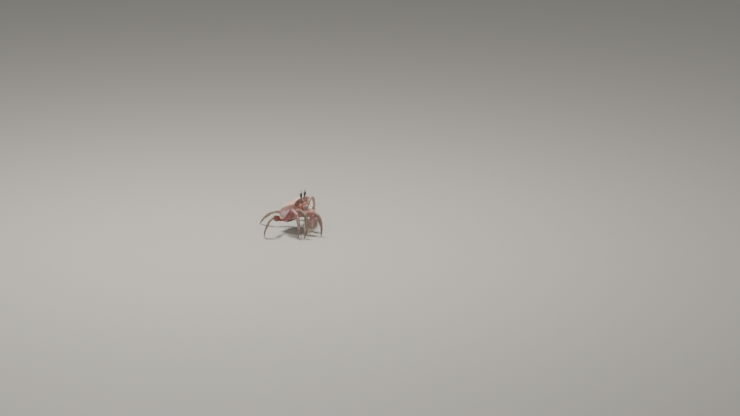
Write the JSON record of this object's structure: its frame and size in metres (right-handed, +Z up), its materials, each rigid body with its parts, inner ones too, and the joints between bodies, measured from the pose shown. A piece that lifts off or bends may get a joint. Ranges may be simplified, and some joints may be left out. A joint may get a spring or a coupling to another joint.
{
  "type": "ghost crab model",
  "caption": "Life-size still model of a ghost crab standing high on its walking legs, front raised, claws lowered in front and stalked eyes upright.",
  "frame": {"origin": "on the floor, at the middle of the whole crab's box seen from above", "axes": "+Z up; the crab faces -Y, its right side is towards -X"},
  "size_m": [0.1236, 0.117, 0.0653],
  "materials": {
    "back_shell": "smooth pale tan shell with fine grains, rose at the edges",
    "belly_shell": "smooth cream shell",
    "face_shell": "rose-brown shell",
    "thigh_shell": "rose-red shell, lilac on top, finely wrinkled",
    "shin_shell": "lilac-pink shell with grained keels",
    "toe_shell": "fluted umber horn",
    "arm_shell": "rose shell with grains",
    "hand_shell": "pink shell with pale grains and cream finger tips",
    "stalk_shell": "smooth pink stalk",
    "cornea": "glossy blue-black eye",
    "horn": "brown-pink horn",
    "joint_skin": "soft pale skin in the joints",
    "bristle": "straw-brown bristles"
  },
  "bodies": {
    "root": {"abdomen": "belly_shell", "antenna_left": "horn", "antenna_right": "horn", "carapace": "back_shell", "claw_left_carpus": "arm_shell", "claw_left_finger": "hand_shell", "claw_left_merus": "arm_shell", "claw_left_palm": "hand_shell", "claw_right_carpus": "arm_shell", "claw_right_finger": "hand_shell", "claw_right_merus": "arm_shell", "claw_right_palm": "hand_shell", "eye_horn_left": "horn", "eye_horn_right": "horn", "eye_left": "cornea", "eye_right": "cornea", "eyestalk_left": "stalk_shell", "eyestalk_right": "stalk_shell", "face": "face_shell", "leg_left_1_carpus": "shin_shell", "leg_left_1_dactylus": "toe_shell", "leg_left_1_merus": "thigh_shell", "leg_left_1_propodus": "shin_shell", "leg_left_2_carpus": "shin_shell", "leg_left_2_dactylus": "toe_shell", "leg_left_2_merus": "thigh_shell", "leg_left_2_propodus": "shin_shell", "leg_left_3_carpus": "shin_shell", "leg_left_3_dactylus": "toe_shell", "leg_left_3_merus": "thigh_shell", "leg_left_3_propodus": "shin_shell", "leg_left_4_carpus": "shin_shell", "leg_left_4_dactylus": "toe_shell", "leg_left_4_merus": "thigh_shell", "leg_left_4_propodus": "shin_shell", "leg_right_1_carpus": "shin_shell", "leg_right_1_dactylus": "toe_shell", "leg_right_1_merus": "thigh_shell", "leg_right_1_propodus": "shin_shell", "leg_right_2_carpus": "shin_shell", "leg_right_2_dactylus": "toe_shell", "leg_right_2_merus": "thigh_shell", "leg_right_2_propodus": "shin_shell", "leg_right_3_carpus": "shin_shell", "leg_right_3_dactylus": "toe_shell", "leg_right_3_merus": "thigh_shell", "leg_right_3_propodus": "shin_shell", "leg_right_4_carpus": "shin_shell", "leg_right_4_dactylus": "toe_shell", "leg_right_4_merus": "thigh_shell", "leg_right_4_propodus": "shin_shell", "mouth_plate_left": "belly_shell", "mouth_plate_right": "belly_shell", "sternum": "belly_shell"}
  },
  "joints": []
}
